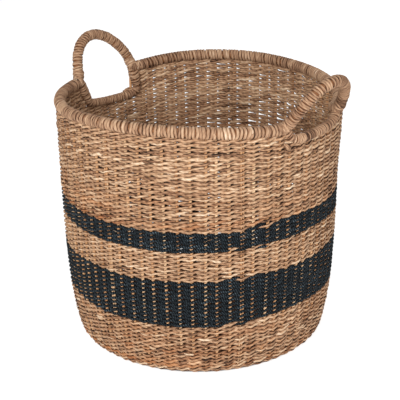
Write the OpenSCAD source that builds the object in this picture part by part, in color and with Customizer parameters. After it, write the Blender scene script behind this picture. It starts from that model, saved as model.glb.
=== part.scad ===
// Woven market basket: a round twined body with two dark stripes, a rim rolled in wrapped fibre,
// and two loop handles standing over hand holes in the wall.
// Millimetres. +Z is up, the handles stand on the X axis, and the origin is the middle of the
// face the basket rests on.

/* [Body] */
// Radius of the wall's outer face at the rim
body_radius = 201; // [160:1:240]
// Height of the rim roll's centre line
rim_height = 351; // [300:1:420]
// How far the wall draws in from the rim to the heel
draw_in = 17; // [5:1:30]
// Height over which most of that drawing in happens
draw_in_height = 60; // [30:1:90]
// Outer radius of the rounded heel between base and wall
heel_radius = 16; // [14:1:30]

/* [Stripes] */
// Height of the wide dark stripe's lower edge
wide_stripe_low = 83; // [60:1:95]
// Height of the wide dark stripe's upper edge
wide_stripe_high = 150; // [120:1:165]
// Height of the narrow dark stripe's lower edge
narrow_stripe_low = 193.5; // [175:0.5:205]
// Height of the narrow dark stripe's upper edge
narrow_stripe_high = 221.5; // [210:0.5:240]

/* [Weave] */
// Number of upright stakes round the wall
stake_count = 72; // [48:4:84]
// Width of one stake
stake_width = 4.4; // [3:0.1:5]
// Thickness of one stake, measured through the wall
stake_thick = 4; // [3:0.1:5]
// Thickness of the weaving strands on each side of the stakes
strand_thick = 2.4; // [1.6:0.1:3.2]
// Number of spokes in the middle of the base
spoke_count = 24; // [12:2:32]
// Radius of the tied knot where the spokes cross
knot_radius = 19; // [18:1:26]
// Radius where the wall's stakes start beside the spokes
stake_start = 64; // [56:1:80]

/* [Rim and handles] */
// Radius of the wrapped roll used for rim and handles
roll_radius = 8.2; // [6:0.1:9]
// Radius of the bundled core inside the roll
core_radius = 5; // [3:0.1:5.5]
// Radius of the rim roll's centre line
rim_line_radius = 194; // [153:1:233]
// Half the distance between a handle's two feet
handle_half_span = 55.7; // [45:0.1:62]
// Rise of each handle's arch along its own slope, right then left
handle_rise = [72, 61];
// Outward lean of each handle from upright, right then left
handle_lean = [39, 20];
// Radius of the bound knot at each handle's foot
joint_radius = 12; // [11.5:0.1:12.5]

/* [Hand holes] */
// Radius of the wrapped lip round the lower edge of a hand hole
lip_radius = 6.5; // [5:0.1:7]
// Radius of the core inside the lip
lip_core_radius = 3.6; // [2:0.1:4]
// Half the distance between the upright sides of the lip
lip_half_span = 51; // [48:0.5:52]
// Drop from the rim line to the lip's lowest stretch, right then left
lip_drop = [24, 45];
// Bend radius of the lip's lower corners
lip_corner = 10; // [9:0.5:11.5]

/* [Hidden] */

gap = 0.1;                                   // clearance between neighbouring pieces
stake_out = strand_thick + gap;              // depth of a stake's outer face below the wall's
stake_in = stake_out + stake_thick;          // depth of its inner face
wall_thick = stake_in + gap + strand_thick;
flat_radius = body_radius - draw_in - heel_radius;
heel_split = 60;                             // angle round the heel where the lower band begins
wall_top = rim_height - roll_radius - gap;
lip_clear = lip_radius + gap;
foot_radial = sqrt(pow(rim_line_radius, 2) - pow(handle_half_span, 2));
lip_plane = (rim_line_radius + foot_radial) / 2;
natural = [0.80, 0.63, 0.45];
straw = [0.86, 0.71, 0.53];
charcoal = [0.15, 0.17, 0.19];
bark = [0.60, 0.43, 0.29];
$fn = 48;
ring_fn = 144;

// The wall's outer radius: nearly upright above, drawing in smoothly towards the heel.
function share_in(z) = 0.88 * exp(-(z - heel_radius) / draw_in_height) + 0.12 * (1 - z / rim_height);
function wall_radius(z) = body_radius - draw_in * share_in(z) / share_in(heel_radius);

// Points [radius, height] at a depth below the outer face, along the heel and up the wall. The
// angle round the heel is 0 where it leaves the base. shift moves a point on along the heel.
function heel_point(depth, angle, shift = 0) = [
    flat_radius + (heel_radius - depth) * sin(angle) + shift * cos(angle),
    heel_radius - (heel_radius - depth) * cos(angle) + shift * sin(angle)];
function heel_line(depth, last = 75) = [for (a = [0:15:last]) heel_point(depth, a)];
function wall_line(depth, low, high) = let (steps = max(1, ceil((high - low) / 24)))
    [for (i = [0:steps]) let (z = low + (high - low) * i / steps) [wall_radius(z) - depth, z]];
function reversed(list) = [for (i = [len(list) - 1:-1:0]) list[i]];

// A ring whose section lies between two lines.
module ring_between(line_out, line_in)
    rotate_extrude($fn = ring_fn) polygon(concat(line_out, reversed(line_in)));

// One upright stake: it starts flat in the base, bends up round the heel and runs up the wall.
// extra makes it larger all round, for the channel that it lies in.
module stake(index, extra) {
    turn = 360 * (index + 0.5) / stake_count;
    under_hole = abs(rim_line_radius * sin(turn)) < lip_half_span + lip_clear + stake_width;
    drop = lip_drop[cos(turn) > 0 ? 0 : 1] + lip_clear + gap;
    top = (under_hole ? rim_height - drop : wall_top) + extra;
    wide = stake_width + 2 * extra;
    outer = stake_out - extra;
    inner = stake_in + extra;
    rotate([0, 0, turn]) rotate([90, 0, 0]) translate([0, 0, -wide / 2]) linear_extrude(height = wide)
        polygon(concat(
            [[stake_start - extra, outer]], heel_line(outer), wall_line(outer, heel_radius, top),
            reversed(wall_line(inner, heel_radius, top)), reversed(heel_line(inner)),
            [[stake_start - extra, inner]]));
}

// Weaving round the stakes: its strands pass on both faces of every stake and cross between
// them, so it is one ring with a channel for each stake.
module woven_ring(line_out, line_in) difference() {
    ring_between(line_out, line_in);
    for (i = [0:stake_count - 1]) stake(i, gap);
}

// The weaving between two heights of the wall.
module wall_band(low, high) woven_ring(wall_line(0, low + gap / 2, high - gap / 2),
    wall_line(wall_thick, low + gap / 2, high - gap / 2));

// The opening cut through the wall for a hand hole and the lip round it, seen along X.
module hand_hole_cut(drop) {
    half = lip_half_span + lip_clear;
    corner = lip_corner + lip_clear;
    low = rim_height - drop - lip_clear;
    rotate([90, 0, 90]) linear_extrude(height = body_radius + 60) {
        translate([-half, low + corner]) square([2 * half, rim_height - low]);
        translate([corner - half, low]) square([2 * (half - corner), corner + 1]);
        for (side = [-1, 1]) translate([side * (half - corner), low + corner]) circle(r = corner);
    }
}

// A stretch of round cord or tube laid on a circle about Z, from one angle to another.
module cord_arc(line_radius, outer, inner, from, to)
    rotate([0, 0, from]) rotate_extrude(angle = to - from, $fn = ring_fn)
        translate([line_radius, 0]) cord_section(outer, inner);

module cord_section(outer, inner) difference() {
    circle(r = outer);
    if (inner > 0) circle(r = inner);
}

// Half the rim between the two handles. side is +1 for +Y and -1 for -Y.
module rim_half(side, outer, inner) {
    foot = asin(handle_half_span / rim_line_radius);
    difference() {
        translate([0, 0, rim_height]) rotate([0, 0, side > 0 ? 0 : 180])
            cord_arc(rim_line_radius, outer, inner, foot, 180 - foot);
        for (end = [-1, 1]) foot_at(end, side) sphere(r = joint_radius + gap);
    }
}

// Places children midway between a handle's foot and the lip's end. end is +1 for the +X handle.
module foot_at(end, side) translate([
    end * (foot_radial + lip_plane) / 2, side * (handle_half_span + lip_half_span) / 2, rim_height])
    children();

// A loop handle: one round arch that leans outward from its two feet.
module handle_loop(end, rise, lean, outer, inner) {
    arch = (pow(handle_half_span, 2) + pow(rise, 2)) / (2 * rise);
    start = asin((rise - arch) / arch) - 4;    // the ends lie just inside the knots, and are trimmed
    difference() {
        translate([end * foot_radial, 0, rim_height]) rotate([0, end * lean, 0])
            translate([0, 0, rise - arch]) rotate([90, 0, 90])
                cord_arc(arch, outer, inner, -start, 180 + start);
        for (side = [-1, 1]) foot_at(end, side) sphere(r = joint_radius + gap);
    }
}

// The lip round a hand hole: a straight low stretch with two bent, upright ends, flat against
// the wall. The ends stop under the knots at the handle's feet.
module hole_lip(end, drop, outer, inner) {
    flat_half = lip_half_span - lip_corner;
    upright = drop - lip_corner - joint_radius - gap;
    translate([end * lip_plane, 0, rim_height - drop]) {
        rotate([90, 0, 0]) translate([0, 0, -flat_half])
            linear_extrude(height = 2 * flat_half) cord_section(outer, inner);
        for (side = [-1, 1]) mirror([0, side > 0 ? 0 : 1, 0]) translate([0, flat_half, lip_corner]) {
            rotate([90, 0, 90]) cord_arc(lip_corner, outer, inner, -90, 0);
            translate([0, lip_corner, 0])
                linear_extrude(height = upright) cord_section(outer, inner);
        }
    }
}

// The tied disc where the spokes of the base cross.
module base_knot() color(bark)
    translate([0, 0, strand_thick / 2])
        cylinder(r = knot_radius - 0.5, h = wall_thick - strand_thick, $fn = 64);

// Short spokes from the knot out to where the wall's stakes begin.
module base_spokes() color(bark)
    for (i = [0:spoke_count - 1]) rotate([0, 0, 360 * i / spoke_count])
        translate([knot_radius, -stake_width / 2, stake_out])
            cube([stake_start - knot_radius - 1, stake_width, stake_thick]);

// The base's two twined faces, below and above the spokes.
module base_weave() color(natural)
    for (low = [0, stake_in + gap]) translate([0, 0, low]) difference() {
        cylinder(r = flat_radius - gap, h = strand_thick, $fn = ring_fn);
        translate([0, 0, -1]) cylinder(r = knot_radius + gap, h = strand_thick + 2, $fn = 64);
    }

// The upright stakes. They run to the rim, or to the lip where they stand under a hand hole.
module wall_stakes() color(straw) for (i = [0:stake_count - 1]) stake(i, 0);

// The rounded edge between the base and the wall, as far as the lower band.
function heel_part(depth) = concat(heel_line(depth, heel_split - 15),
    [heel_point(depth, heel_split, -gap / 2)]);
module heel_weave() color(natural) woven_ring(heel_part(0), heel_part(wall_thick));

// The lower band starts with the heel's last row, which finishes the turn up into the wall.
function lower_part(depth) = concat(
    [heel_point(depth, heel_split, gap / 2), heel_point(depth, (heel_split + 90) / 2)],
    wall_line(depth, heel_radius, wide_stripe_low - gap / 2));
module lower_band() color(natural) woven_ring(lower_part(0), lower_part(wall_thick));

module wide_dark_band() color(charcoal) wall_band(wide_stripe_low, wide_stripe_high);

module middle_band() color(straw) wall_band(wide_stripe_high, narrow_stripe_low);

module narrow_dark_band() color(charcoal) wall_band(narrow_stripe_low, narrow_stripe_high);

// The tallest stretch of weaving, open at both hand holes.
module upper_band() color(natural) difference() {
    wall_band(narrow_stripe_high, wall_top);
    hand_hole_cut(lip_drop[0]);
    rotate([0, 0, 180]) hand_hole_cut(lip_drop[1]);
}

module rim_wrap_front() color(straw) rim_half(-1, roll_radius, core_radius + gap);

module rim_wrap_back() color(straw) rim_half(1, roll_radius, core_radius + gap);

module rim_core_front() color(bark) rim_half(-1, core_radius, 0);

module rim_core_back() color(bark) rim_half(1, core_radius, 0);

module handle_wrap_right() color(straw)
    handle_loop(1, handle_rise[0], handle_lean[0], roll_radius, core_radius + gap);

module handle_wrap_left() color(straw)
    handle_loop(-1, handle_rise[1], handle_lean[1], roll_radius, core_radius + gap);

module handle_core_right() color(bark)
    handle_loop(1, handle_rise[0], handle_lean[0], core_radius, 0);

module handle_core_left() color(bark)
    handle_loop(-1, handle_rise[1], handle_lean[1], core_radius, 0);

module lip_wrap_right() color(straw) hole_lip(1, lip_drop[0], lip_radius, lip_core_radius + gap);

module lip_wrap_left() color(straw) hole_lip(-1, lip_drop[1], lip_radius, lip_core_radius + gap);

module lip_core_right() color(bark) hole_lip(1, lip_drop[0], lip_core_radius, 0);

module lip_core_left() color(bark) hole_lip(-1, lip_drop[1], lip_core_radius, 0);

module joint_right_front() color(natural) foot_at(1, -1) sphere(r = joint_radius);

module joint_right_back() color(natural) foot_at(1, 1) sphere(r = joint_radius);

module joint_left_front() color(natural) foot_at(-1, -1) sphere(r = joint_radius);

module joint_left_back() color(natural) foot_at(-1, 1) sphere(r = joint_radius);

base_knot();
base_spokes();
base_weave();
wall_stakes();
heel_weave();
lower_band();
wide_dark_band();
middle_band();
narrow_dark_band();
upper_band();
rim_wrap_front();
rim_wrap_back();
rim_core_front();
rim_core_back();
handle_wrap_right();
handle_wrap_left();
handle_core_right();
handle_core_left();
lip_wrap_right();
lip_wrap_left();
lip_core_right();
lip_core_left();
joint_right_front();
joint_right_back();
joint_left_front();
joint_left_back();
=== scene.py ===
"""Looks for the woven market basket: every strand, stake and turn of wrapping is its own closed tube.

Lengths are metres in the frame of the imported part: +Z up, handles on the X axis.
"""

import math

import bpy
import numpy as np
from mathutils import Matrix, Vector


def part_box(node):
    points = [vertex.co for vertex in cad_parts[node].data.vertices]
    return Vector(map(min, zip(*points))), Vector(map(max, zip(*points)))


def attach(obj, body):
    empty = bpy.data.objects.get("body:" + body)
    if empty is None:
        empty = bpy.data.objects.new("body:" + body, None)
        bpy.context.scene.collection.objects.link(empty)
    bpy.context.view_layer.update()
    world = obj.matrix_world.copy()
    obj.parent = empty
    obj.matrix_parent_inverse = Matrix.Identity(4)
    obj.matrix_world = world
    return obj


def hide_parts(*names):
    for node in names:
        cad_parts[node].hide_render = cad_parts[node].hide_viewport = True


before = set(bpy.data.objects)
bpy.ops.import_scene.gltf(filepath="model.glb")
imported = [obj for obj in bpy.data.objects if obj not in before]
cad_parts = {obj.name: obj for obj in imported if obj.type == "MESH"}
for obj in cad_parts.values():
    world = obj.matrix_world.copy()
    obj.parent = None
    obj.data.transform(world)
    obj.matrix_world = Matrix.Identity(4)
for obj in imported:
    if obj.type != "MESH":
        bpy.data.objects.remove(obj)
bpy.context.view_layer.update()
rng = np.random.default_rng(20)
MM = 0.001

# ---------------------------------------------------------------- sizes read from the frame

BANDS = ["lower_band", "wide_dark_band", "middle_band", "narrow_dark_band", "upper_band"]
WALL_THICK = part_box("base_weave")[1].z                     # the same all over the basket
MID = WALL_THICK / 2                                       # depth of the stakes' middle line
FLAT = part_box("base_weave")[1].x                           # radius of the flat base
HEEL_TURN = math.radians(60)                               # heel_weave ends this far round the heel
HEEL = (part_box("heel_weave")[1].x - FLAT) / math.sin(HEEL_TURN)     # radius of the rounded heel
HEEL_RADIUS = FLAT + HEEL
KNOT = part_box("base_knot")[1].x
SPOKE_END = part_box("base_spokes")[1].x
WALL_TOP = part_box("upper_band")[1].z
BODY_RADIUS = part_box("upper_band")[1].y
RIM_Z = (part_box("rim_wrap_front")[0].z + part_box("rim_wrap_front")[1].z) / 2
ROLL = (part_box("rim_wrap_front")[1].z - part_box("rim_wrap_front")[0].z) / 2
RIM_R = -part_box("rim_wrap_front")[0].y - ROLL
LIP = (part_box("lip_wrap_left")[1].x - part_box("lip_wrap_left")[0].x) / 2

STAKES = 72
SPOKES = 24
ROW = 6.1 * MM                                             # height of one twined row

# The rim isn't level: it dips to the handles and stands highest at the back. Each pair is an
# angle in degrees from +X and the rim's rise there in millimetres.
RIM_RISE = [(-30, -2), (-10, -6), (15, -5), (45, 0), (68, 4), (90, 7), (105, 9.5), (130, 8.5), (148, 4),
            (162, -4), (180, -6), (197, -5), (225, -2), (250, 0), (268, 4.5), (292, 4.5), (310, 3)]
RIM_EASE = 9                                               # degrees over which the rise is smoothed

# The wall's top is pulled outwards a little beside the right handle's +Y foot.
FLARE, FLARE_AT, FLARE_SPREAD = 4.0 * MM, math.radians(33), math.radians(20)
FLARE_HEIGHT = 0.11                                        # it fades out this far below the rim

# Handle and lip middle lines in millimetres, (x, y, z), followed round from the +Y foot of the
# left handle. The work is uneven: both hoops lean a little towards +Y below the rim.
LEFT_ARCH = [(-185, 58, 346), (-190, 59, 357), (-196, 54, 372), (-202, 44, 385), (-206, 28, 398),
             (-208, 6, 406.5), (-207, -14, 406), (-204, -31, 397), (-198, -43, 383), (-192, -49, 366),
             (-187, -53, 354), (-185, -54, 346)]
RIGHT_ARCH = [(187, -48, 346), (194, -45, 356), (206, -43, 372), (217, -39, 387), (225, -32, 399),
              (231, -18, 406), (231, 0, 407), (226, 21, 401), (217, 42, 389), (208, 55, 376),
              (200, 62, 361), (192, 62, 346)]
LEFT_LIP = [(-184, 58, 346), (-183, 61, 330), (-181.5, 65, 314), (-184, 58, 307), (-188, 38, 305),
            (-191, 6, 305), (-190, -20, 307.5), (-189, -34, 311), (-188, -38, 321), (-187, -47, 336),
            (-185, -53, 347)]
RIGHT_LIP = [(188, -46, 343), (192, -42, 333), (195, -30, 329.5), (197, -10, 329.5), (197, 12, 330),
             (196, 31, 331.5), (194, 49, 334), (192, 61, 343)]

# ---------------------------------------------------------------- small mathematical helpers


WANDER_SPREAD = 0.55                                       # standard deviation at a knot
ANY_PHASE = 7                                              # radians, a little over one full turn


def wander(count, knots, closed=False):
    """Smooth random values along a line, about -1 to 1, with one free value per knot."""
    knots = max(2, int(knots))
    values = rng.normal(0, WANDER_SPREAD, knots + (0 if closed else 1))
    t = np.linspace(0, knots, count, endpoint=not closed)
    i = np.minimum(t.astype(int), knots - (0 if closed else 1))
    f = t - i
    f = f * f * (3 - 2 * f)
    last = len(values)
    return values[i % last] * (1 - f) + values[(i + 1) % last] * f


def unit(v):
    """The vectors scaled to length 1."""
    return v / np.maximum(np.linalg.norm(v, axis=-1, keepdims=True), 1e-12)


def sharpened(wave, power):
    """A wave between -1 and 1 with a different shape but the same ends and middle."""
    return np.sign(wave) * np.abs(wave) ** power


def dense(points, spacing=1.0 * MM, closed=False):
    """The same line with even spacing."""
    p = np.concatenate([points, points[:1]]) if closed else np.asarray(points, float)
    d = np.concatenate([[0], np.cumsum(np.linalg.norm(np.diff(p, axis=0), axis=1))])
    n = max(4, int(d[-1] / spacing))
    t = np.linspace(0, d[-1], n, endpoint=not closed)
    return np.stack([np.interp(t, d, p[:, k]) for k in range(3)], -1)


def eased(points, passes, closed):
    """The line with its corners rounded. More passes round them more."""
    out = points.copy()
    for _ in range(passes):
        if closed:
            out = (np.roll(out, 1, 0) + 2 * out + np.roll(out, -1, 0)) / 4
        else:
            out[1:-1] = (out[:-2] + 2 * out[1:-1] + out[2:]) / 4
    return out


# ---------------------------------------------------------------- the surface the weave lies on

# The middle line of the base, heel and wall as one run, measured along itself from the axis.
DRAW_HEIGHT = 60 * MM                                      # most of the drawing in fades within this
LOW_SHARE = 0.88                                           # the rest is even over the whole height


def wall_radius(z):
    """Outer radius of the wall: nearly upright above, drawing in smoothly towards the heel."""
    def share(h):
        return LOW_SHARE * np.exp(-(h - HEEL) / DRAW_HEIGHT) + (1 - LOW_SHARE) * (1 - h / RIM_Z)
    return BODY_RADIUS - (BODY_RADIUS - HEEL_RADIUS) * share(z) / share(HEEL)


base_line = np.array([[r, MID] for r in np.linspace(0.0, FLAT, 40)])
heel_angles = np.radians(np.linspace(5, 90, 18))
heel_line = np.stack([FLAT + (HEEL - MID) * np.sin(heel_angles),
                      HEEL - (HEEL - MID) * np.cos(heel_angles)], -1)
wall_heights = np.linspace(HEEL, WALL_TOP + 0.01, 90)[1:]
wall_line = np.stack([wall_radius(wall_heights) - MID, wall_heights], -1)
run = np.concatenate([base_line, heel_line, wall_line])
run_length = np.concatenate([[0], np.cumsum(np.linalg.norm(np.diff(run, axis=0), axis=1))])
run_slope = unit(np.stack([np.gradient(run[:, k], run_length) for k in (0, 1)], -1))


def run_at_height(z):
    """Distance along the run at which the wall reaches a height."""
    wall = run[:, 1] >= HEEL
    return np.interp(z, run[wall, 1], run_length[wall])


S_HEEL = FLAT                                              # distance at which the heel begins
S_WALL = run_at_height(HEEL)
S_TOP = run_at_height(WALL_TOP)
S_NARROW = run_at_height(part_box("narrow_dark_band")[1].z)

rim_degrees = np.arange(360)
rim_rise = np.interp(rim_degrees, *zip(*sorted((a % 360, h * MM) for a, h in RIM_RISE)), period=360)
rim_rise = np.mean([np.roll(rim_rise, k) for k in range(-RIM_EASE, RIM_EASE + 1)], axis=0)


def rim_height(angle):
    """Height of the rim's middle line."""
    return RIM_Z + np.interp(np.degrees(angle), rim_degrees, rim_rise, period=360)


def flare(angle, z):
    """How far the wall is pulled outwards at a place."""
    off = (angle - FLARE_AT + math.pi) % (2 * math.pi) - math.pi
    share = np.clip(1 - (RIM_Z - z) / FLARE_HEIGHT, 0, 1)
    return FLARE * np.exp(-(off / FLARE_SPREAD) ** 2) * share * share * (3 - 2 * share)


# Long, low waves that neighbouring rows share, as turns, length along the wall and start. They
# fade out towards the heel and towards the rim.
WAVES = [(rng.integers(2, 10), rng.uniform(0.05, 0.2), rng.uniform(0, ANY_PHASE)) for _ in range(7)]
WAVE_HIGH = 0.45 * MM
FADE_LOW, FADE_TOP = 40 * MM, 30 * MM


def row_wave(s, angle):
    """How far the shared waves shift a row along the wall."""
    total = sum(WAVE_HIGH * np.sin(turns * angle + 2 * math.pi * s / long + start)
                for turns, long, start in WAVES)
    return total * np.clip((s - S_HEEL) / FADE_LOW, 0, 1) * np.clip((S_TOP - s) / FADE_TOP, 0, 1)


def on_run(s, angle, depth=0.0):
    """Points on the woven surface, and the direction out of it."""
    # Above the narrow stripe the rows rise and dip more and more with the rim.
    lift = np.clip((s - S_NARROW) / (S_TOP - S_NARROW), 0, 1.2)
    s = s + row_wave(s, angle) + lift * (rim_height(angle) - RIM_Z)
    r, z = (np.interp(s, run_length, run[:, k]) for k in (0, 1))
    tr, tz = (np.interp(s, run_length, run_slope[:, k]) for k in (0, 1))
    c, sn = np.cos(angle), np.sin(angle)
    out = unit(np.stack([tz * c, tz * sn, -tr], -1))
    r = r + flare(angle, z)
    return np.stack([r * c, r * sn, z], -1) + out * np.asarray(depth)[..., None], out


# Patches of the weave are packed tighter or looser, as turns, length along the wall and start.
PATCHES = [(rng.integers(3, 16), rng.uniform(0.03, 0.12), rng.uniform(0, ANY_PHASE)) for _ in range(8)]
PATCH_WIDER = 0.07

# The strands pack tighter on one side of the basket than on the other. Each pair is an angle in
# degrees from +X and how much wider the strands are there.
TIGHT_SIDE = [(-60, -0.03), (50, -0.02), (84, -0.01), (104, 0.08), (140, 0.09), (200, 0.06),
              (250, -0.02)]
LOOSE_MIDDLE = 0.11                                        # the middle band is woven loosest


def packing(s, angle):
    """How much wider than usual the strands are at a place."""
    patches = sum(np.sin(turns * angle + 2 * math.pi * s / long + start)
                  for turns, long, start in PATCHES) / math.sqrt(len(PATCHES))
    degrees, wider = zip(*sorted((a % 360, w) for a, w in TIGHT_SIDE))
    side = np.interp(np.degrees(angle), degrees, wider, period=360)
    middle = (s > spiral_s[3]) & (s < spiral_s[4])
    return PATCH_WIDER * patches + side - LOOSE_MIDDLE * middle


# Each stake strays a little from its even place, and the strands stray with it: the four numbers
# are its shift, lean, bend and where the bend begins, the first three as shares of a stake's space.
STRAY = rng.normal(0, 0.05, (4, STAKES))
STRAY_FROM, STRAY_OVER = 60 * MM, 100 * MM                 # it begins here and is full this far on


def stake_angle(u, s):
    """Angle of stake number u, which may lie between two stakes, at a distance along the run."""
    i = np.floor(u).astype(int)
    f = u - i
    part = s / S_TOP

    def shift(k):
        shifted, lean, bend, start = STRAY[:, k % STAKES]
        return shifted + 1.5 * lean * part + bend * np.sin(5 * part + 40 * start)
    off = (shift(i) * (1 - f) + shift(i + 1) * f) * np.clip((s - STRAY_FROM) / STRAY_OVER, 0, 1)
    return 2 * math.pi * (u + 0.5 + off) / STAKES


# ---------------------------------------------------------------- hand holes


def hole_floor(lip):
    """Height of a hand hole's lower edge as a table of y and z, from its -Y side to its +Y side."""
    line = np.array(lip) * MM
    order = np.argsort(line[:, 1], kind="stable")
    return line[order, 1], line[order, 2]


HOLES = {1: hole_floor(RIGHT_LIP), -1: hole_floor(LEFT_LIP)}


def in_hole(point):
    """True where a point on the wall lies inside a hand hole."""
    inside = np.zeros(len(point), bool)
    for end, (across, low) in HOLES.items():
        floor_here = np.interp(point[:, 1], across, low, left=1, right=1)
        inside |= (point[:, 0] * end > 0) & (point[:, 2] > floor_here)
    return inside


def stretches(mask):
    """Start and end of each unbroken run of True values."""
    edges = np.flatnonzero(np.diff(np.concatenate([[0], mask.astype(int), [0]])))
    return zip(edges[::2], edges[1::2])


# ---------------------------------------------------------------- tubes gathered into one mesh


END_SHARES = (0.25, 0.8)                                   # thickness of a tube's last two rings
UV_LONG, UV_HIGH, UV_EDGE = 0.98, 0.92, 0.04               # how much of its cell a segment fills


class Bundle:
    """Closed tubes collected into one piece, each with its own stretch of the bake map.

    Beside its rings a tube keeps how light and how red each ring is, the ring's place along the
    tube, and a number of its own that tells its grain from the other tubes'.
    """

    def __init__(self):
        self.rings, self.tones, self.rusts = [], [], []
        self.alongs, self.kinds, self.closed = [], [], []

    def tube(self, line, out, half_wide, half_deep, tone, closed=False, sides=8, squareness=0.85,
             rust=0.0):
        """A flattened tube along line: wide across it, deep along out."""
        n = len(line)
        half_wide = np.broadcast_to(half_wide, n).astype(float).copy()
        half_deep = np.broadcast_to(half_deep, n).astype(float).copy()
        if closed:
            tangent = unit(np.roll(line, -1, 0) - np.roll(line, 1, 0))
            step = np.linalg.norm(np.roll(line, -1, 0) - line, axis=1)
        else:
            tangent = unit(np.gradient(line, axis=0))
            step = np.linalg.norm(np.diff(line, axis=0), axis=1)
            step = np.append(step, step[-1])
            for k, share in enumerate(END_SHARES):
                half_wide[[k, -1 - k]] *= share
                half_deep[[k, -1 - k]] *= share
        normal = unit(out - (out * tangent).sum(1, keepdims=True) * tangent)
        across = np.cross(tangent, normal)
        a = 2 * math.pi * np.arange(sides) / sides
        cw, cd = sharpened(np.cos(a), squareness), sharpened(np.sin(a), squareness)
        ring = (line[:, None] + across[:, None] * (half_wide[:, None] * cw)[..., None]
                + normal[:, None] * (half_deep[:, None] * cd)[..., None])
        self.rings.append(ring)
        self.tones.append(np.broadcast_to(tone, n).astype(float))
        self.rusts.append(np.broadcast_to(rust, n).astype(float))
        self.alongs.append(np.concatenate([[0], np.cumsum(step)[:-1]]))
        self.kinds.append(rng.uniform(0, 90))
        self.closed.append(closed)

    def mesh(self, name):
        """One object holding all the tubes."""
        # The bake map holds the segments in rows, as many rows as keep its texels about square.
        total_segments = sum(len(r) - (0 if c else 1) for r, c in zip(self.rings, self.closed))
        mean_step = np.mean([np.mean(np.diff(a)) for a in self.alongs])
        girth = np.mean([np.linalg.norm(r[0] - np.roll(r[0], 1, 0), axis=-1).sum()
                         for r in self.rings])
        strips = max(1, int(round(math.sqrt(total_segments * mean_step / max(girth, 1e-5)))))
        per_strip = math.ceil(total_segments / strips) + 1
        cos, tone, rust, fibre, loops, starts, uvs = [], [], [], [], [], [], []
        vertex, loop, segment = 0, 0, 0
        for ring, ring_tone, ring_rust, along, kind, closed in zip(
                self.rings, self.tones, self.rusts, self.alongs, self.kinds, self.closed):
            n, sides = ring.shape[:2]
            cos.append(ring.reshape(-1, 3))
            tone.append(np.repeat(ring_tone, sides))
            rust.append(np.repeat(ring_rust, sides))
            around = np.tile(2 * math.pi * np.arange(sides) / sides, n)
            fibre.append(np.stack([np.repeat(along, sides) + kind, np.cos(around), np.sin(around)], -1))
            segments = n if closed else n - 1
            i = np.arange(segments)[:, None]
            j = np.arange(sides)[None, :]
            i2, j2 = (i + 1) % n, (j + 1) % sides
            quad = np.stack([i * sides + j + 0 * i2, i * sides + j2 + 0 * i2,
                             i2 * sides + j2, i2 * sides + j + 0 * j2], -1) + vertex
            loops.append(quad.reshape(-1))
            starts.append(loop + 4 * np.arange(segments * sides))
            loop += 4 * segments * sides
            place = segment + np.arange(segments)
            strip, spot = place // per_strip, place % per_strip
            u0, u1 = spot / per_strip, (spot + UV_LONG) / per_strip
            v0 = (strip[:, None] + UV_EDGE + UV_HIGH * j / sides) / (strips + 1)
            v1 = (strip[:, None] + UV_EDGE + UV_HIGH * (j + 1) / sides) / (strips + 1)
            u0, u1 = np.broadcast_to(u0[:, None], v0.shape), np.broadcast_to(u1[:, None], v0.shape)
            uv = np.stack([np.stack([u0, v0], -1), np.stack([u0, v1], -1),
                           np.stack([u1, v1], -1), np.stack([u1, v0], -1)], 2)
            uvs.append(uv.reshape(-1, 2))
            segment += segments
            if not closed:
                for first, order in ((0, -1), ((n - 1) * sides, 1)):
                    cap = vertex + first + np.arange(sides)[::order]
                    loops.append(cap)
                    starts.append(np.array([loop]))
                    loop += sides
                    uvs.append(np.tile(uv.reshape(-1, 2)[:1] + 1e-4, (sides, 1)))
            vertex += n * sides
        mesh = bpy.data.meshes.new(name)
        mesh.vertices.add(vertex)
        mesh.vertices.foreach_set("co", np.concatenate(cos).astype(np.float32).reshape(-1))
        mesh.loops.add(loop)
        mesh.loops.foreach_set("vertex_index", np.concatenate(loops).astype(np.int32))
        starts = np.concatenate(starts).astype(np.int32)
        mesh.polygons.add(len(starts))
        mesh.polygons.foreach_set("loop_start", starts)
        mesh.update(calc_edges=True)
        mesh.polygons.foreach_set("use_smooth", np.ones(len(starts), bool))
        layer = mesh.uv_layers.new(name="OFBake")
        layer.uv.foreach_set("vector", np.concatenate(uvs).astype(np.float32).reshape(-1))
        for label, values in (("_tone", tone), ("_rust", rust)):
            mesh.attributes.new(label, "FLOAT", "POINT").data.foreach_set(
                "value", np.concatenate(values).astype(np.float32))
        mesh.attributes.new("_fibre", "FLOAT_VECTOR", "POINT").data.foreach_set(
            "vector", np.concatenate(fibre).astype(np.float32).reshape(-1))
        obj = bpy.data.objects.new(name, mesh)
        bpy.context.scene.collection.objects.link(obj)
        return obj


# ---------------------------------------------------------------- materials


def srgb(red, green, blue):
    """A colour as the eye sees it, 0 to 255, as the light it reflects."""
    def light(v):
        v /= 255
        return v / 12.92 if v < 0.04045 else ((v + 0.055) / 1.055) ** 2.4
    return light(red), light(green), light(blue)


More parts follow.
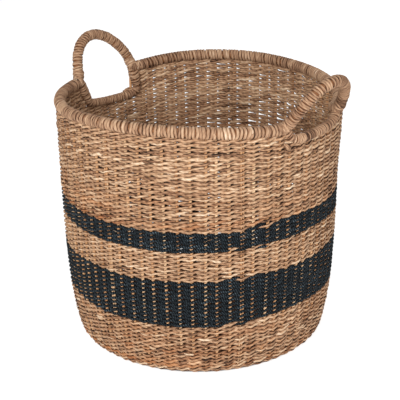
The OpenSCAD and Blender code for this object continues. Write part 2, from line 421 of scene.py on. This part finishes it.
class Graph:
    """The nodes of a material or a world, with short ways to add and join them."""

    def __init__(self, owner):
        owner.use_nodes = True
        self.nodes, self.links = owner.node_tree.nodes, owner.node_tree.links

    def node(self, kind, **values):
        """A new node. Each value sets the input of that name, or else the node's own setting."""
        made = self.nodes.new(kind)
        for key, value in values.items():
            if key in made.inputs:
                made.inputs[key].default_value = value
            else:
                setattr(made, key, value)
        return made

    def maths(self, operation, a, b=0.0, clamp=False):
        """The result of a sum on two numbers, either of which may be another node's output."""
        made = self.node("ShaderNodeMath", operation=operation, use_clamp=clamp)
        for socket, value in zip(made.inputs, (a, b)):
            if isinstance(value, (int, float)):
                socket.default_value = value
            else:
                self.links.new(value, socket)
        return made.outputs[0]

    def mapped(self, value, low, high, start=0.0, end=1.0):
        """A number that runs from low to high while value runs from start to end."""
        made = self.node("ShaderNodeMapRange")
        for key, number in zip(("From Min", "From Max", "To Min", "To Max"), (start, end, low, high)):
            made.inputs[key].default_value = number
        self.links.new(value, made.inputs["Value"])
        return made.outputs["Result"]

    def by_ray(self, falling, seen):
        """One strength for the light that falls on the basket, another for what the camera sees."""
        return self.mapped(self.node("ShaderNodeLightPath").outputs["Is Camera Ray"], falling, seen)


FLECKS, BLOTCHES = 1.1, 0.7                                # how strongly fine and broad streaks show
GRAIN_DETAIL = 0.62
TWIST_MEAN = 0.65                                          # a twist's mean height
EDGE_SHADE_POWER = 3.0                                           # higher keeps the painted shade at a strand's edges thinner
LUMP_HIGH = 0.6 * MM
RUST = (0.88, 0.60, 0.40, 1)                               # share of the light that rust leaves


def fibre_material(name, stops, grain, bump, roughness, ply, ply_depth_and_shade, edge_shade):
    """Plant fibre: a colour run picked by each strand's tone, with streaks and twist along it.

    grain is how often the streaks change along and round a strand, ply the length of one twist,
    ply_depth_and_shade how deep the twist's bumps are and how strongly painted highlight and shade
    follow it, and edge_shade how much painted shade darkens the strand at its two edges.
    """
    mat = bpy.data.materials.new(name)
    graph = Graph(mat)
    node, links, maths = graph.node, graph.links, graph.maths
    shader = graph.nodes["Principled BSDF"]

    def noise(along, around, detail):
        """Noise over the strand's own length and girth, different on each strand."""
        stretch = node("ShaderNodeVectorMath", operation="MULTIPLY")
        links.new(fibre, stretch.inputs[0])
        stretch.inputs[1].default_value = (along, around, around)
        texture = node("ShaderNodeTexNoise", Scale=1.0, Detail=detail, Roughness=GRAIN_DETAIL)
        links.new(stretch.outputs[0], texture.inputs["Vector"])
        return texture.outputs["Fac"]

    tone = node("ShaderNodeAttribute", attribute_name="_tone").outputs["Fac"]
    fibre = node("ShaderNodeAttribute", attribute_name="_fibre").outputs["Vector"]
    streak = noise(grain[0], grain[1], 3.0)
    patch = noise(grain[0] * 0.8, grain[1] * 0.15, 2.0)
    parts = node("ShaderNodeSeparateXYZ")
    links.new(fibre, parts.inputs[0])
    turns = maths("ADD", maths("MULTIPLY", parts.outputs["X"], 2 * math.pi / ply),
                  maths("ARCTAN2", parts.outputs["Z"], parts.outputs["Y"]))
    twist = maths("ABSOLUTE", maths("SINE", turns))
    edge = maths("POWER", maths("ABSOLUTE", parts.outputs["Y"]), EDGE_SHADE_POWER)
    fleck = maths("MULTIPLY", maths("SUBTRACT", streak, 0.5), FLECKS)
    blotch = maths("MULTIPLY", maths("SUBTRACT", patch, 0.5), BLOTCHES)
    # Painted light and shade: the colour is lightened on the twist's crests and darkened in its
    # grooves.
    twist_shading = maths("MULTIPLY", maths("SUBTRACT", twist, TWIST_MEAN), ply_depth_and_shade)
    # Painted shade: each strand's colour is darkened along its two edges, where it meets its
    # neighbours.
    painted_seam_shade = maths("MULTIPLY", edge, -edge_shade)
    mixed = maths("ADD", maths("ADD", tone, maths("ADD", fleck, twist_shading)),
                  maths("ADD", blotch, painted_seam_shade), clamp=True)
    ramp = node("ShaderNodeValToRGB")
    links.new(mixed, ramp.inputs["Fac"])
    elements = ramp.color_ramp.elements
    while len(elements) < len(stops):
        elements.new(0.5)
    for element, (position, colour) in zip(elements, stops):
        element.position = position
        element.color = (*srgb(*colour), 1)
    tint = node("ShaderNodeMixRGB", blend_type="MULTIPLY", Color2=RUST)
    links.new(node("ShaderNodeAttribute", attribute_name="_rust").outputs["Fac"], tint.inputs["Fac"])
    links.new(ramp.outputs["Color"], tint.inputs["Color1"])
    links.new(tint.outputs["Color"], shader.inputs["Base Color"])
    height = maths("ADD", maths("MULTIPLY", streak, 0.8), maths("MULTIPLY", twist, ply_depth_and_shade * 2))
    lumps = node("ShaderNodeBump", Strength=bump, Distance=LUMP_HIGH)
    links.new(height, lumps.inputs["Height"])
    links.new(lumps.outputs["Normal"], shader.inputs["Normal"])
    links.new(graph.mapped(streak, *roughness), shader.inputs["Roughness"])
    shader.inputs["Specular IOR Level"].default_value = 0.22
    return mat


# Colours from a strand's darkest tone to its lightest.
NATURAL_STOPS = [(0.0, (52, 35, 25)), (0.25, (138, 100, 74)), (0.5, (188, 147, 113)),
                 (0.75, (216, 181, 146)), (1.0, (246, 222, 192))]
WRAP_STOPS = [(0.0, (66, 44, 32)), (0.25, (146, 108, 82)), (0.5, (188, 148, 116)),
              (0.75, (216, 180, 146)), (1.0, (246, 222, 196))]
DARK_STOPS = [(0.0, (7, 10, 13)), (0.45, (24, 31, 36)), (0.8, (50, 61, 68)), (1.0, (112, 128, 136))]
STAKE_STOPS = [(0.0, (150, 98, 62)), (0.5, (214, 160, 112)), (1.0, (248, 216, 174))]

natural = fibre_material("natural_fibre", NATURAL_STOPS, grain=(26, 2.6), bump=0.8,
                         roughness=(0.55, 0.8), ply=16 * MM, ply_depth_and_shade=0.2, edge_shade=0.55)
wrap = fibre_material("wrapping_fibre", WRAP_STOPS, grain=(30, 2.4), bump=0.8,
                      roughness=(0.55, 0.8), ply=18 * MM, ply_depth_and_shade=0.16, edge_shade=0.42)
dark = fibre_material("dark_fibre", DARK_STOPS, grain=(90, 3), bump=1.0,
                      roughness=(0.6, 0.85), ply=6.6 * MM, ply_depth_and_shade=0.9, edge_shade=0.25)
cane = fibre_material("split_cane", STAKE_STOPS, grain=(18, 2), bump=0.3,
                      roughness=(0.5, 0.7), ply=50 * MM, ply_depth_and_shade=0.0, edge_shade=0.1)


def finish_piece(bundle, name, material, slot, *nodes):
    """The bundle as one named piece, which stands for the nodes given."""
    obj = bundle.mesh(name)
    obj.data.materials.append(material)
    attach(obj, "root")
    if nodes:
        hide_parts(*nodes)


# ---------------------------------------------------------------- the twined wall

DETAIL = 7                                                 # rings of a tube per stake

# Two strands wind up the wall in one long spiral, clockwise as seen from above. Each band begins
# at the stake given here, and one of the two strands changes a few stakes before the other.
CHANGE_AT = {"lower_band": 40, "wide_dark_band": 63, "middle_band": 63, "narrow_dark_band": 64,
             "upper_band": 65}
CHANGE_SPREAD = 3

# How a strand lies. swing is how far it goes in and out of the wall, and rise how far it climbs
# over its partner where the two cross.
NATURAL = dict(half_wide=2.1 * MM, half_deep=1.5 * MM, swing=2.7 * MM, rise=1.2 * MM,
               width_jitter=0.26, tone_spread=0.30, looseness=1.0, rust=1.0)
DARK = dict(NATURAL, half_wide=2.15 * MM, rise=1.05 * MM, width_jitter=0.10, tone_spread=0.16,
            looseness=0.3, rust=0.0)

spiral_turns, spiral_s = [0], [S_HEEL]
for band in BANDS:
    low = S_WALL if band == BANDS[0] else run_at_height(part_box(band)[0].z)
    rows = round((low - spiral_s[-1]) / ROW)
    since = (-CHANGE_AT[band] - spiral_turns[-1]) % STAKES
    rows_here = rows * STAKES + (since if since < STAKES / 2 else since - STAKES)
    spiral_turns.append(spiral_turns[-1] + rows_here)
    spiral_s.append(low)
top_rows = round((S_TOP - spiral_s[-1]) / ROW)
spiral_turns.append(spiral_turns[-1] + top_rows * STAKES)
spiral_s.append(S_TOP - 0.2 * ROW)
SPIRAL_END = spiral_turns[-1] + STAKES                     # the last turn lies level under the rim
turn = np.arange(SPIRAL_END * DETAIL + 1) / DETAIL
spiral = np.interp(turn, spiral_turns, spiral_s)


# The straw is palest between the stripes. It is darker and redder towards the heel and just above
# the narrow stripe, most of all on one side. Each pair is a share of the way from heel to rim and
# the tone or the rust there.
TONE_RUN = [(0, 0.45), (0.08, 0.51), (0.22, 0.56), (0.42, 0.60), (0.56, 0.60), (0.64, 0.48),
            (0.72, 0.52), (0.85, 0.57), (1.0, 0.54)]
RUST_RUN = [(0, 0.75), (0.1, 0.6), (0.22, 0.35), (0.42, 0.05), (0.58, 0.08), (0.62, 0.7),
            (0.70, 0.5), (0.80, 0.15), (1.0, 0.1)]
RUST_SIDE = math.radians(-110)
DARK_TONE, BASE_TONE, LEAST_TONE = 0.42, 0.42, 0.2


def along_wall(s, pairs):
    """The value at a place between heel and rim."""
    return np.interp((s - S_HEEL) / (S_TOP - S_HEEL), *zip(*pairs))


def rust_share(s, angle):
    """How red the straw is at a place."""
    return along_wall(s, RUST_RUN) * (0.8 + 0.3 * np.cos(angle - RUST_SIDE))


SWING_POWER, RISE_POWER = 1.6, 0.6                         # over 1 stays longer in the middle
HEEL_SWING = 0.7                                           # the strands lie flatter round the heel


def twine(s, u, phase, style, tone):
    """Line, outward direction, half sizes, tone and rust of one strand that passes in and out."""
    count = len(s)
    stitches = count / DETAIL
    angle = stake_angle(u, s)
    width = 1 + style["width_jitter"] * wander(count, stitches * 0.8)
    width = width + style["looseness"] * packing(s, angle)
    rise = style["rise"] * (1 + 0.4 * wander(count, stitches * 0.5))
    height = s - rise * sharpened(np.sin(phase), RISE_POWER)
    height = height + 0.5 * MM * wander(count, stitches * 0.6)
    swing = style["swing"] * np.interp(s, [S_HEEL, S_WALL + 20 * MM], [HEEL_SWING, 1])
    depth = swing * sharpened(np.cos(phase), SWING_POWER) + 0.3 * MM * wander(count, stitches * 0.7)
    point, out = on_run(height, angle, depth)
    fade, fleck = wander(count, stitches / 16), wander(count, stitches * 0.8)
    shade = np.maximum(tone + style["tone_spread"] * (0.6 * fade + 0.6 * fleck), LEAST_TONE)
    streaks = np.clip(0.5 + 1.2 * wander(count, stitches / 7), 0, 1.3)
    rust = style["rust"] * rust_share(s, angle) * streaks
    return point, out, style["half_wide"] * width, style["half_deep"] * width ** 0.4, shade, rust


strands = {}
for kind, style in (("natural", NATURAL), ("dark", DARK)):
    tone = along_wall(spiral, TONE_RUN) if kind == "natural" else DARK_TONE
    strands[kind] = [twine(spiral, -turn, math.pi * (turn + side), style, tone) for side in (0, 1)]
outside = ~in_hole(on_run(spiral, stake_angle(-turn, spiral))[0])

# Where each piece begins on the spiral, counted in stakes. The heel's last row is the wall's first.
t_heel = STAKES * int((S_WALL - S_HEEL) / ROW)
t_wide, t_mid, t_narrow, t_up = spiral_turns[2:6]
t_half = t_up + STAKES * (top_rows // 2)


def woven_piece(name, first, last, kind, material, slot, node):
    """The rows between two places on the spiral, broken at the hand holes."""
    bundle = Bundle()
    for (point, out, wide, deep, tone, rust), early in zip(strands[kind], (0, CHANGE_SPREAD)):
        begin = first - (early if first > t_heel else 0)
        end = last - (early if t_heel < last < SPIRAL_END else 0)
        here = (turn >= begin) & (turn <= end) & outside
        for a, b in stretches(here):
            if b - a > DETAIL:
                bundle.tube(point[a:b], out[a:b], wide[a:b], deep[a:b], tone[a:b], rust=rust[a:b])
    finish_piece(bundle, name, material, slot, node)


woven_piece("heel_rows", 0, t_heel, "natural", natural, "natural_fibre", "heel_weave")
woven_piece("lower_rows", t_heel, t_wide, "natural", natural, "natural_fibre", "lower_band")
woven_piece("wide_dark_rows", t_wide, t_mid, "dark", dark, "dark_fibre", "wide_dark_band")
woven_piece("middle_rows", t_mid, t_narrow, "natural", natural, "straw_fibre", "middle_band")
woven_piece("narrow_dark_rows", t_narrow, t_up, "dark", dark, "dark_fibre", "narrow_dark_band")
woven_piece("upper_rows_low", t_up, t_half, "natural", natural, "natural_fibre", "upper_band")
woven_piece("upper_rows_high", t_half, SPIRAL_END, "natural", natural, "natural_fibre", "upper_band")

# ---------------------------------------------------------------- base and stakes

INNER_RINGS = 10                                           # base rows that go into the first piece
base_rows = {"inner": Bundle(), "outer": Bundle()}
rings = int((FLAT - KNOT) / ROW)
for k in range(rings):
    s = KNOT + (k + 0.5) * (FLAT - KNOT) / rings
    posts = SPOKES if s < SPOKE_END else STAKES
    count = posts * DETAIL + 1
    u = np.linspace(0, posts, count)
    for side in (0, 1):
        shift = 0.5 if posts == SPOKES else 0.0
        point, out, wide, deep, tone, rust = twine(np.full(count, s), (u - shift) * STAKES / posts,
                                                   math.pi * (u + side + k), NATURAL, BASE_TONE)
        base_rows["inner" if k < INNER_RINGS else "outer"].tube(
            point, out, wide * 1.05, deep, tone, sides=6, rust=rust)
for zone, bundle in base_rows.items():
    finish_piece(bundle, f"base_rows_{zone}", natural, "natural_fibre", "base_weave")

STAKE_STEPS = 60
STAKE_HALF_WIDE, STAKE_HALF_DEEP = 2.1 * MM, 1.9 * MM
DOUBLED_SHARE = 0.2                                        # some stakes are two thin canes side by side
DOUBLED_HALF_WIDE, DOUBLED_OFFSET = 1.3 * MM, 1.5 * MM
stakes = Bundle()
for k in range(STAKES):
    path = np.linspace(SPOKE_END - 4 * MM, S_TOP + 2 * MM, STAKE_STEPS)
    angle = stake_angle(np.full(STAKE_STEPS, float(k)), path)
    kept = ~in_hole(on_run(path, angle)[0])
    path, angle = path[kept], angle[kept]
    doubled = rng.random() < DOUBLED_SHARE
    for side in ((-1, 1) if doubled else (0,)):
        radius = np.interp(path, run_length, run[:, 0])
        depth = 0.15 * MM * wander(len(path), 8)
        point, out = on_run(path, angle + side * DOUBLED_OFFSET / radius, depth)
        wide = DOUBLED_HALF_WIDE if doubled else STAKE_HALF_WIDE
        wide = wide * (1 + 0.1 * wander(len(path), 10))
        stakes.tube(point, out, wide, STAKE_HALF_DEEP, 0.55 + 0.25 * wander(len(path), 4))
finish_piece(stakes, "wall_stake_rods", cane, "stake", "wall_stakes")

SPOKE_HALF_WIDE, SPOKE_HALF_DEEP = 2.0 * MM, 1.6 * MM
spokes = Bundle()
for k in range(SPOKES):
    path = np.linspace(2 * MM, SPOKE_END + 4 * MM, 14)
    point, out = on_run(path, np.full(len(path), 2 * math.pi * k / SPOKES))
    spokes.tube(point, out, SPOKE_HALF_WIDE, SPOKE_HALF_DEEP, 0.45 + 0.2 * wander(len(path), 4))
finish_piece(spokes, "base_spoke_rods", cane, "stake", "base_spokes")

# Rings of fibre that weave over and under each other.
KNOT_LAYERS, KNOT_RINGS, KNOT_STEPS = 3, 5, 60
KNOT_INNER, KNOT_SPACE = 0.25 * KNOT, 0.16 * KNOT
KNOT_LIFT, KNOT_HALF_WIDE, KNOT_HALF_DEEP = 2.4 * MM, 1.6 * MM, 1.1 * MM
knot = Bundle()
t = np.linspace(0, 2 * math.pi, KNOT_STEPS, endpoint=False)
upwards = np.tile([0.0, 0.0, 1.0], (KNOT_STEPS, 1))
for layer in range(KNOT_LAYERS):
    for ring in range(KNOT_RINGS):
        r = KNOT_INNER + KNOT_SPACE * ring
        lift = KNOT_LIFT * np.sin(4 * t + 2 * math.pi * layer / KNOT_LAYERS + ring)
        line = np.stack([r * np.cos(t), r * np.sin(t), MID + lift], -1)
        tone = 0.5 + 0.2 * wander(KNOT_STEPS, 6, closed=True)
        knot.tube(line, upwards, KNOT_HALF_WIDE, KNOT_HALF_DEEP, tone, closed=True)
finish_piece(knot, "base_centre_knot", natural, "natural_fibre", "base_knot")

# ---------------------------------------------------------------- rim, handles and lips

WRAP_DEEP = 1.35 * MM                                      # half a wrapping strand's thickness
CORE_GAP = 1.7 * WRAP_DEEP                                 # the core lies this far under the face
TURN_DETAIL = 18                                           # rings of a tube per turn
RIM_PITCH, HANDLE_PITCH, LIP_PITCH = 4.4 * MM, 3.5 * MM, 3.7 * MM


def frames(line):
    """Two directions square to the line at each point, without twist."""
    tangent = unit(np.gradient(line, axis=0))
    first = unit(np.cross(tangent[0], [0.3, 0.2, 1.0]))
    a = np.zeros_like(line)
    for k in range(len(line)):
        first = first - tangent[k] * first.dot(tangent[k])
        first /= np.linalg.norm(first)
        a[k] = first
    return a, np.cross(tangent, a)


def wound(bundle, line, radius, pitch, tone, slant, strand_turns, spread):
    """Strands wound tightly round a line, turn beside turn.

    radius is the wrapping's outer one, pitch the space that a turn takes, slant how far a turn
    leans in pitches, strand_turns the fewest turns of one strand and one more than the most, and
    spread how much the strands' tones differ.
    """
    length = np.linalg.norm(np.diff(line, axis=0), axis=1).sum()
    a, b = frames(line)
    at = np.linspace(0, length, len(line))
    radius = np.broadcast_to(radius, len(line))
    start = 0.0
    while start < length - pitch:
        turns = min(rng.integers(*strand_turns), max(1, int((length - start) / pitch)))
        pace = pitch * (1 + 0.12 * rng.normal())
        n = turns * TURN_DETAIL + 4
        psi = np.linspace(0, 2 * math.pi * turns + 0.5, n)
        lean = slant + 0.45 * wander(n, turns + 1)
        s = start + pace * psi / (2 * math.pi) + lean * pitch * np.cos(psi + 0.6)
        s = np.clip(s + 0.14 * pitch * wander(n, turns * 2), 0, length)
        r = (np.interp(s, at, radius) - WRAP_DEEP) * (1 + 0.04 * wander(n, turns * 2))
        centre, da, db = (np.stack([np.interp(s, at, v[:, k]) for k in range(3)], -1)
                          for v in (line, a, b))
        out = unit(unit(da) * np.cos(psi)[:, None] + unit(db) * np.sin(psi)[:, None])
        width = 0.50 * pace * (1 + 0.2 * wander(n, turns * 2))
        shade = tone + spread * (rng.normal(0, 0.5) + 0.7 * wander(n, turns * 2))
        bundle.tube(centre + out * r[:, None], out, width, WRAP_DEEP, shade, sides=8, squareness=0.95)
        start += pace * turns


def core_tube(bundle, line, radius):
    """The round core that a wrapping lies on."""
    a, _ = frames(line)
    bundle.tube(line, a, radius, radius, 0.0, sides=10, squareness=1.0)


def rim_points(first, last):
    """The rim's middle line between two feet, the way round by growing angle."""
    start, end = (math.atan2(p[1], p[0]) for p in (first, last))
    angle = np.linspace(start, end if end > start else end + 2 * math.pi, 300)
    r = RIM_R + 0.6 * flare(angle, RIM_Z)
    return np.stack([r * np.cos(angle), r * np.sin(angle), rim_height(angle)], -1)[3:-3]


# The rim and both handles are one closed loop, eased where rim turns up into handle.
loop_parts = [rim_points(RIGHT_ARCH[-1], LEFT_ARCH[0]), np.array(LEFT_ARCH) * MM,
              rim_points(LEFT_ARCH[-1], RIGHT_ARCH[0]), np.array(RIGHT_ARCH) * MM]
feet = [np.array(p) * MM for p in (LEFT_ARCH[0], LEFT_ARCH[-1], RIGHT_ARCH[0], RIGHT_ARCH[-1])]
loop = eased(dense(np.concatenate(loop_parts), closed=True), 60, True)
foot_at = [int(np.argmin(np.linalg.norm(loop - p, axis=1))) for p in feet]
RUNS = [("handle", "left", 0, 1), ("rim", "front", 1, 2), ("handle", "right", 2, 3),
        ("rim", "back", 3, 0)]
for part, side, first, last in RUNS:
    start, end = foot_at[first], foot_at[last]
    line = loop[np.arange(start, end + 1 if end > start else end + 1 + len(loop)) % len(loop)]
    turns = Bundle()
    if part == "rim":
        wound(turns, line, ROLL, RIM_PITCH, tone=0.50, slant=0.18, strand_turns=(6, 18), spread=0.18)
    else:
        wound(turns, line, ROLL - 0.3 * MM, HANDLE_PITCH, tone=0.48, slant=0.12, strand_turns=(3, 9),
              spread=0.13)
    finish_piece(turns, f"{part}_winding_{side}", wrap, "straw_fibre", f"{part}_wrap_{side}")
    core = Bundle()
    core_tube(core, line, ROLL - CORE_GAP)
    finish_piece(core, f"{part}_bundle_{side}", cane, "core", f"{part}_core_{side}")

# A lip's roll thickens to the rim's as it climbs to the feet of its handle.
LIP_THICKENS, LIP_OVER = 8 * MM, 20 * MM
for side, points in (("right", RIGHT_LIP), ("left", LEFT_LIP)):
    line = eased(dense(np.array(points) * MM), 16, False)
    above = line[:, 2] - line[:, 2].min()
    radius = LIP + (ROLL - LIP) * np.clip((above - LIP_THICKENS) / LIP_OVER, 0, 1)
    turns = Bundle()
    wound(turns, line, radius, LIP_PITCH, tone=0.44, slant=0.12, strand_turns=(3, 9), spread=0.14)
    finish_piece(turns, f"lip_winding_{side}", wrap, "straw_fibre", f"lip_wrap_{side}")
    core = Bundle()
    core_tube(core, line, LIP - CORE_GAP)
    finish_piece(core, f"lip_bundle_{side}", cane, "core", f"lip_core_{side}")

# Bound corners: turns that fan from the rim's direction to the handle's, some crossing the rest.
CORNER_TURNS, CORNER_STEPS = 15, 30
t = np.linspace(0, 2 * math.pi, CORNER_STEPS, endpoint=False)
for name, foot in zip(("left_back", "left_front", "right_front", "right_back"), foot_at):
    binding = Bundle()
    for j in range(CORNER_TURNS):
        spot = foot + int(rng.normal(0, 1.5)) + (j - CORNER_TURNS // 2) * 2
        centre = loop[spot % len(loop)]
        along = unit(loop[(spot + 3) % len(loop)] - loop[(spot - 3) % len(loop)])
        tilt = unit(along + rng.normal(0, 0.22, 3) + (np.array([0, 0, 0.7]) if j % 4 == 0 else 0))
        side_a = unit(np.cross(tilt, [0.2, 0.1, 1.0]))
        side_b = np.cross(tilt, side_a)
        r = (ROLL + 0.3 * MM - WRAP_DEEP) * (1 + 0.05 * wander(CORNER_STEPS, 5, closed=True))
        ring_out = np.cos(t)[:, None] * side_a + np.sin(t)[:, None] * side_b
        wide = 1.8 * MM * (1 + 0.15 * wander(CORNER_STEPS, 6, closed=True))
        tone = 0.48 + 0.12 * rng.normal() + 0.12 * wander(CORNER_STEPS, 6, closed=True)
        binding.tube(centre + ring_out * r[:, None], ring_out, wide, WRAP_DEEP, tone, closed=True)
    finish_piece(binding, f"bound_corner_{name}", wrap, "natural_fibre", f"joint_{name}")

# ---------------------------------------------------------------- leaf ends and stray fibres


def wall_strip(bundle, s, angle, long, half_wide, proud, tone, climb):
    """A flat leaf end lying on the weave, its two ends tucked in."""
    share = np.linspace(-0.5, 0.5, 9)
    depth = proud * (1 - 1.6 * share ** 2)
    point, out = on_run(s + climb * share, angle + long * share / RIM_R, depth)
    bundle.tube(point, out, half_wide * (1 - 2.2 * share ** 2), 0.55 * MM, tone, squareness=0.9)


# Where the wall is straw-coloured, clear of the stripes. Each pair is the start and end of a part.
NATURAL_RUNS = [(S_WALL, spiral_s[2] - 1.5 * ROW), (spiral_s[3] + 1.5 * ROW, spiral_s[4] - 1.5 * ROW),
                (spiral_s[5] + 1.5 * ROW, S_TOP - 3 * ROW)]
RUN_SHARES = (0.3, 0.15, 0.55)
LEAF_TRIES, HAIR_TRIES = 150, 160
BESIDE = np.array([-0.08, 0, 0.08])                        # radians looked at on both sides for a hole
leaves = Bundle()
for k in range(LEAF_TRIES):
    low, high = NATURAL_RUNS[rng.choice(3, p=RUN_SHARES)]
    s, angle = rng.uniform(low, high), rng.uniform(0, 2 * math.pi)
    if in_hole(on_run(np.full(3, s + 2 * ROW), angle + BESIDE)[0]).any():
        continue
    face = -1 if k % 3 == 0 else 1                         # one in three lies inside the basket
    wall_strip(leaves, s, np.array(angle), rng.uniform(12, 22) * MM, rng.uniform(1.5, 2.6) * MM,
               face * 4.3 * MM, rng.uniform(0.5, 0.85), rng.normal(0, 2) * MM)
# One broad leaf end hangs below the bound corner at the right handle's -Y foot.
wall_strip(leaves, run_at_height(0.3285), np.array(math.atan2(-50, 190)), 11 * MM, 3.6 * MM,
           6.2 * MM, 0.5, -12 * MM)
finish_piece(leaves, "leaf_ends", natural, "straw_fibre")

hairs = Bundle()
for k in range(HAIR_TRIES):
    s, angle = rng.uniform(S_WALL, S_TOP), rng.uniform(0, 2 * math.pi)
    near = on_run(np.full(3, s + ROW), angle + BESIDE)[0]
    if in_hole(near).any() or spiral_s[2] < s < spiral_s[3]:
        continue
    share = np.linspace(0, 1, 6)
    point, out = on_run(s + rng.normal(0, 3) * MM * share, angle + rng.normal(0, 0.035) * share,
                        (3.2 + rng.uniform(1, 2.6) * share ** 1.5) * MM)
    hairs.tube(point, out, 0.28 * MM, 0.22 * MM, rng.uniform(0.4, 0.8), sides=4)
finish_piece(hairs, "stray_fibres", natural, "straw_fibre")

# ---------------------------------------------------------------- floor, light and camera

# Both the floor and the backdrop look brighter to the camera than the light they throw.
FLOOR_LIGHT, FLOOR_SEEN = 0.50, 0.80
BACKDROP_LIGHT, BACKDROP_SEEN = 0.30, 1.0

bpy.ops.mesh.primitive_circle_add(vertices=96, radius=9, fill_type="NGON", location=(0, 0, 0))
floor = bpy.context.object
floor.name = "floor"
floor_mat = bpy.data.materials.new("floor_white")
floor_graph = Graph(floor_mat)
floor_shader = floor_graph.nodes["Principled BSDF"]
floor_shader.inputs["Base Color"].default_value = (0.5, 0.5, 0.5, 1)
floor_shader.inputs["Roughness"].default_value = 0.9
floor_shader.inputs["Emission Color"].default_value = (1, 1, 1, 1)

# It glows like a light table, but not under the flat base, where the basket keeps the light off it.
spot = floor_graph.node("ShaderNodeTexCoord").outputs["Object"]
from_middle = floor_graph.node("ShaderNodeVectorMath", operation="LENGTH")
floor_graph.links.new(spot, from_middle.inputs[0])
lit = floor_graph.mapped(from_middle.outputs["Value"], 0.0, 1.0, FLAT, FLAT + 3 * MM)
glow = floor_graph.maths("MULTIPLY", lit, floor_graph.by_ray(FLOOR_LIGHT, FLOOR_SEEN))
floor_graph.links.new(glow, floor_shader.inputs["Emission Strength"])
floor.data.materials.append(floor_mat)

# The camera, fitted to the photo. VIEW_TURN and VIEW_RISE are the direction from the basket to the
# camera, the first from +X towards +Y.
VIEW_TURN = math.radians(-49.1)
VIEW_RISE = math.radians(21.6)
VIEW_DISTANCE = 1.6
VIEW_ROLL = math.radians(-0.85)
VIEW_HEIGHT = 0.178                                        # height of the point looked at
LENS, SENSOR = 98.1, 36                                    # millimetres
SHIFT_X, SHIFT_Y = 0.0008, 0.0176

bpy.context.scene.view_settings.view_transform = "Standard"
world = bpy.data.worlds.new("studio")
bpy.context.scene.world = world
world_graph = Graph(world)
backdrop = world_graph.nodes["Background"]
backdrop.inputs["Color"].default_value = (1, 1, 1, 1)
backdrop_light = world_graph.by_ray(BACKDROP_LIGHT, BACKDROP_SEEN)
world_graph.links.new(backdrop_light, backdrop.inputs["Strength"])

AIM = Vector((0, 0, 0.2))                                  # the point that the lamps face


def direction(turn, rise):
    """The direction at an angle from +X towards +Y and a height above the floor, in radians."""
    return Vector((math.cos(rise) * math.cos(turn), math.cos(rise) * math.sin(turn), math.sin(rise)))


def soft_lamp(name, turn, rise, distance, size, power):
    """A square lamp that faces the basket. Its turn is in degrees round from the camera."""
    data = bpy.data.lights.new(name, "AREA")
    data.size, data.energy = size, power
    lamp = bpy.data.objects.new(name, data)
    bpy.context.scene.collection.objects.link(lamp)
    away = direction(VIEW_TURN + math.radians(turn), math.radians(rise))
    lamp.location = AIM + away * distance
    lamp.rotation_euler = (-away).to_track_quat("-Z", "Y").to_euler()


soft_lamp("key", -14, 24, 2.2, 1.0, 33)
soft_lamp("fill", 60, 20, 2.4, 1.4, 12)
soft_lamp("back_fill", 170, 28, 2.4, 1.4, 8)

toward = direction(VIEW_TURN, VIEW_RISE)
right = Vector((-math.sin(VIEW_TURN), math.cos(VIEW_TURN), 0))
up = toward.cross(right)
right_rolled = right * math.cos(VIEW_ROLL) + up * math.sin(VIEW_ROLL)
basis = Matrix((right_rolled, toward.cross(right_rolled), toward)).transposed()
camera_data = bpy.data.cameras.new("main_view")
camera_data.lens, camera_data.sensor_width = LENS, SENSOR
camera_data.shift_x, camera_data.shift_y = SHIFT_X, SHIFT_Y
camera = bpy.data.objects.new("main_view", camera_data)
bpy.context.scene.collection.objects.link(camera)
place = Vector((0, 0, VIEW_HEIGHT)) + toward * VIEW_DISTANCE
camera.matrix_world = Matrix.Translation(place) @ basis.to_4x4()
bpy.context.scene.camera = camera
